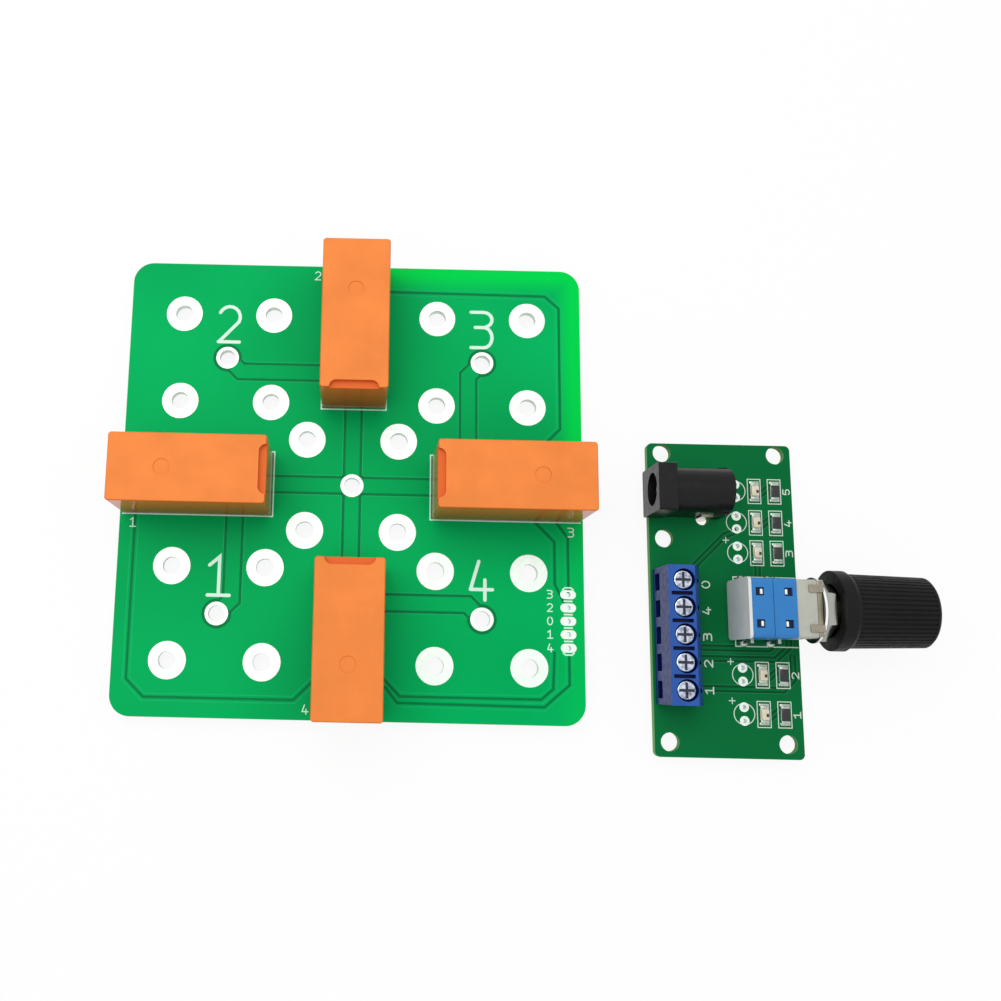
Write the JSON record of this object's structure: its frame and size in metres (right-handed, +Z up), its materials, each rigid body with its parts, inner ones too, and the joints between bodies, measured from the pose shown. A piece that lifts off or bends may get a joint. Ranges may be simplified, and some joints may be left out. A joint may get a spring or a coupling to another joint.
{
  "type": "coaxial antenna switch",
  "caption": "Relay board that joins one coaxial port to any of several others, with a small control board: rotary switch with knob, screw terminals and power jack.",
  "frame": {"origin": "centre of the common port on the relay board's underside", "axes": "+X from the relay board towards the control board and along its knob, +Y up the page of the lettering, +Z up from the boards' component side"},
  "size_m": [0.1518, 0.0952, 0.0193],
  "materials": {
    "solder_mask_light": "green solder mask over glass laminate, satin gloss",
    "solder_mask_dark": "darker green solder mask over glass laminate, satin gloss",
    "tin": "levelled tin, bright and slightly uneven",
    "tin_pin": "tinned pins",
    "cover_orange": "moulded, matt top and glossy sides",
    "base_plastic": "moulded, matt",
    "bobbin_plastic": "moulded, matt",
    "copper_wire": "enamelled copper",
    "soft_iron": "zinc plated iron",
    "contact_bronze": "contact bronze",
    "card_plastic": "moulded, matt",
    "chip_black": "glazed black film on a ceramic chip, tinned ends",
    "led_lens": "clear to milky moulded lens, tinned ends",
    "terminal_blue": "moulded nylon, satin",
    "nickel": "nickel plated, satin",
    "screw_steel": "bright nickel plated steel",
    "jack_black": "moulded, satin",
    "switch_white": "moulded, matt",
    "switch_blue": "moulded nylon, satin",
    "switch_grey": "moulded, matt",
    "zinc_plate": "zinc plated steel, slightly yellow",
    "chromed": "chromed, polished",
    "shaft_metal": "turned, bright",
    "rotor_plastic": "moulded, matt",
    "knob_black": "moulded, finely fluted, satin",
    "cap_blue": "inset cap, matt, with a dark pointer line"
  },
  "bodies": {
    "boards": {"relay_board": "solder_mask_light", "relay_board_pads": "tin", "relay_bases": "base_plastic", "relay_bobbins": "bobbin_plastic", "relay_windings": "copper_wire", "relay_cores": "soft_iron", "relay_yokes": "soft_iron", "relay_fixed_contacts": "contact_bronze", "relay_common_terminals": "contact_bronze", "relay_coil_pins": "tin_pin", "control_board": "solder_mask_dark", "control_board_pads": "tin", "chip_resistors": "chip_black", "indicator_leds": "led_lens", "terminal_housing": "terminal_blue", "terminal_pins": "tin_pin", "jack_housing": "jack_black", "jack_center_pin": "nickel", "jack_sleeve_spring": "nickel", "jack_break_contact": "nickel", "switch_back_plate": "switch_white", "switch_rear_wafer": "switch_blue", "switch_front_wafer": "switch_blue", "switch_detent_housing": "switch_grey", "switch_front_plate": "zinc_plate", "switch_washer": "chromed", "switch_nut": "chromed", "switch_contacts": "tin_pin", "detent_ball": "chromed", "detent_spring": "nickel", "k1_cover": "cover_orange", "k2_cover": "cover_orange", "k3_cover": "cover_orange", "k4_cover": "cover_orange"},
    "selector": {"switch_shaft": "shaft_metal", "switch_rotor": "rotor_plastic", "knob": "knob_black", "knob_cap": "cap_blue"},
    "clamp_screw_1": {"clamp_screw_1": "screw_steel"},
    "clamp_cage_1": {"clamp_cage_1": "nickel"},
    "clamp_screw_2": {"clamp_screw_2": "screw_steel"},
    "clamp_cage_2": {"clamp_cage_2": "nickel"},
    "clamp_screw_3": {"clamp_screw_3": "screw_steel"},
    "clamp_cage_3": {"clamp_cage_3": "nickel"},
    "clamp_screw_4": {"clamp_screw_4": "screw_steel"},
    "clamp_cage_4": {"clamp_cage_4": "nickel"},
    "clamp_screw_5": {"clamp_screw_5": "screw_steel"},
    "clamp_cage_5": {"clamp_cage_5": "nickel"},
    "k1_armature": {"k1_armature": "soft_iron"},
    "k1_card": {"k1_card": "card_plastic"},
    "k1_contact_arm": {"k1_contact_arm": "contact_bronze"},
    "k2_armature": {"k2_armature": "soft_iron"},
    "k2_card": {"k2_card": "card_plastic"},
    "k2_contact_arm": {"k2_contact_arm": "contact_bronze"},
    "k3_armature": {"k3_armature": "soft_iron"},
    "k3_card": {"k3_card": "card_plastic"},
    "k3_contact_arm": {"k3_contact_arm": "contact_bronze"},
    "k4_armature": {"k4_armature": "soft_iron"},
    "k4_card": {"k4_card": "card_plastic"},
    "k4_contact_arm": {"k4_contact_arm": "contact_bronze"}
  },
  "joints": [
    {"name": "selector_turn", "type": "hinge", "parent": "boards", "child": "selector", "pos_m": [0.0718, -0.0227, 0.0075], "axis": [-1, 0, 0], "range_deg": [0, 90]},
    {"name": "clamp_screw_1_turn", "type": "hinge", "parent": "boards", "child": "clamp_screw_1", "pos_m": [0.0612, -0.0178, 0.0096], "axis": [0, 0, -1], "range_deg": [0, 1260]},
    {"name": "clamp_cage_1_lift", "type": "slide", "parent": "boards", "child": "clamp_cage_1", "axis": [0, 0, 1], "range_m": [0, 0.00175]},
    {"name": "clamp_screw_2_turn", "type": "hinge", "parent": "boards", "child": "clamp_screw_2", "pos_m": [0.0612, -0.0228, 0.0096], "axis": [0, 0, -1], "range_deg": [0, 1260]},
    {"name": "clamp_cage_2_lift", "type": "slide", "parent": "boards", "child": "clamp_cage_2", "axis": [0, 0, 1], "range_m": [0, 0.00175]},
    {"name": "clamp_screw_3_turn", "type": "hinge", "parent": "boards", "child": "clamp_screw_3", "pos_m": [0.0612, -0.0278, 0.0096], "axis": [0, 0, -1], "range_deg": [0, 1260]},
    {"name": "clamp_cage_3_lift", "type": "slide", "parent": "boards", "child": "clamp_cage_3", "axis": [0, 0, 1], "range_m": [0, 0.00175]},
    {"name": "clamp_screw_4_turn", "type": "hinge", "parent": "boards", "child": "clamp_screw_4", "pos_m": [0.0612, -0.0328, 0.0096], "axis": [0, 0, -1], "range_deg": [0, 1260]},
    {"name": "clamp_cage_4_lift", "type": "slide", "parent": "boards", "child": "clamp_cage_4", "axis": [0, 0, 1], "range_m": [0, 0.00175]},
    {"name": "clamp_screw_5_turn", "type": "hinge", "parent": "boards", "child": "clamp_screw_5", "pos_m": [0.0612, -0.0378, 0.0096], "axis": [0, 0, -1], "range_deg": [0, 1260]},
    {"name": "clamp_cage_5_lift", "type": "slide", "parent": "boards", "child": "clamp_cage_5", "axis": [0, 0, 1], "range_m": [0, 0.00175]},
    {"name": "k1_armature_close", "type": "hinge", "parent": "boards", "child": "k1_armature", "pos_m": [-0.043, 0, 0.0046], "axis": [0, 1, 0], "range_deg": [0, 7]},
    {"name": "k1_card_slide", "type": "slide", "parent": "boards", "child": "k1_card", "axis": [1, 0, 0], "range_m": [0, 0.0013], "stiffness_N_per_m": 1, "springref_m": -0.004},
    {"name": "k1_contact_arm_swing", "type": "hinge", "parent": "boards", "child": "k1_contact_arm", "pos_m": [-0.0226, 0, 0.0048], "axis": [0, 1, 0], "range_deg": [0, 7.2]},
    {"name": "k2_armature_close", "type": "hinge", "parent": "boards", "child": "k2_armature", "pos_m": [0, 0.043, 0.0046], "axis": [1, 0, 0], "range_deg": [0, 7]},
    {"name": "k2_card_slide", "type": "slide", "parent": "boards", "child": "k2_card", "axis": [0, -1, 0], "range_m": [0, 0.0013], "stiffness_N_per_m": 1, "springref_m": -0.004},
    {"name": "k2_contact_arm_swing", "type": "hinge", "parent": "boards", "child": "k2_contact_arm", "pos_m": [0, 0.0226, 0.0048], "axis": [1, 0, 0], "range_deg": [0, 7.2]},
    {"name": "k3_armature_close", "type": "hinge", "parent": "boards", "child": "k3_armature", "pos_m": [0.043, 0, 0.0046], "axis": [0, -1, 0], "range_deg": [0, 7]},
    {"name": "k3_card_slide", "type": "slide", "parent": "boards", "child": "k3_card", "axis": [-1, 0, 0], "range_m": [0, 0.0013], "stiffness_N_per_m": 1, "springref_m": -0.004},
    {"name": "k3_contact_arm_swing", "type": "hinge", "parent": "boards", "child": "k3_contact_arm", "pos_m": [0.0226, 0, 0.0048], "axis": [0, -1, 0], "range_deg": [0, 7.2]},
    {"name": "k4_armature_close", "type": "hinge", "parent": "boards", "child": "k4_armature", "pos_m": [0, -0.043, 0.0046], "axis": [-1, 0, 0], "range_deg": [0, 7]},
    {"name": "k4_card_slide", "type": "slide", "parent": "boards", "child": "k4_card", "axis": [0, 1, 0], "range_m": [0, 0.0013], "stiffness_N_per_m": 1, "springref_m": -0.004},
    {"name": "k4_contact_arm_swing", "type": "hinge", "parent": "boards", "child": "k4_contact_arm", "pos_m": [0, -0.0226, 0.0048], "axis": [-1, 0, 0], "range_deg": [0, 7.2]}
  ],
  "couplings": [
    {"joint": "clamp_screw_1_turn", "follows": "clamp_cage_1_lift", "rad_per_m": 12566},
    {"joint": "clamp_screw_2_turn", "follows": "clamp_cage_2_lift", "rad_per_m": 12566},
    {"joint": "clamp_screw_3_turn", "follows": "clamp_cage_3_lift", "rad_per_m": 12566},
    {"joint": "clamp_screw_4_turn", "follows": "clamp_cage_4_lift", "rad_per_m": 12566},
    {"joint": "clamp_screw_5_turn", "follows": "clamp_cage_5_lift", "rad_per_m": 12566},
    {"joint": "k1_armature_close", "follows": "k1_card_slide", "rad_per_m": 93.46},
    {"joint": "k1_contact_arm_swing", "follows": "k1_card_slide", "rad_per_m": 95.33},
    {"joint": "k2_armature_close", "follows": "k2_card_slide", "rad_per_m": 93.46},
    {"joint": "k2_contact_arm_swing", "follows": "k2_card_slide", "rad_per_m": 95.33},
    {"joint": "k3_armature_close", "follows": "k3_card_slide", "rad_per_m": 93.46},
    {"joint": "k3_contact_arm_swing", "follows": "k3_card_slide", "rad_per_m": 95.33},
    {"joint": "k4_armature_close", "follows": "k4_card_slide", "rad_per_m": 93.46},
    {"joint": "k4_contact_arm_swing", "follows": "k4_card_slide", "rad_per_m": 95.33}
  ]
}
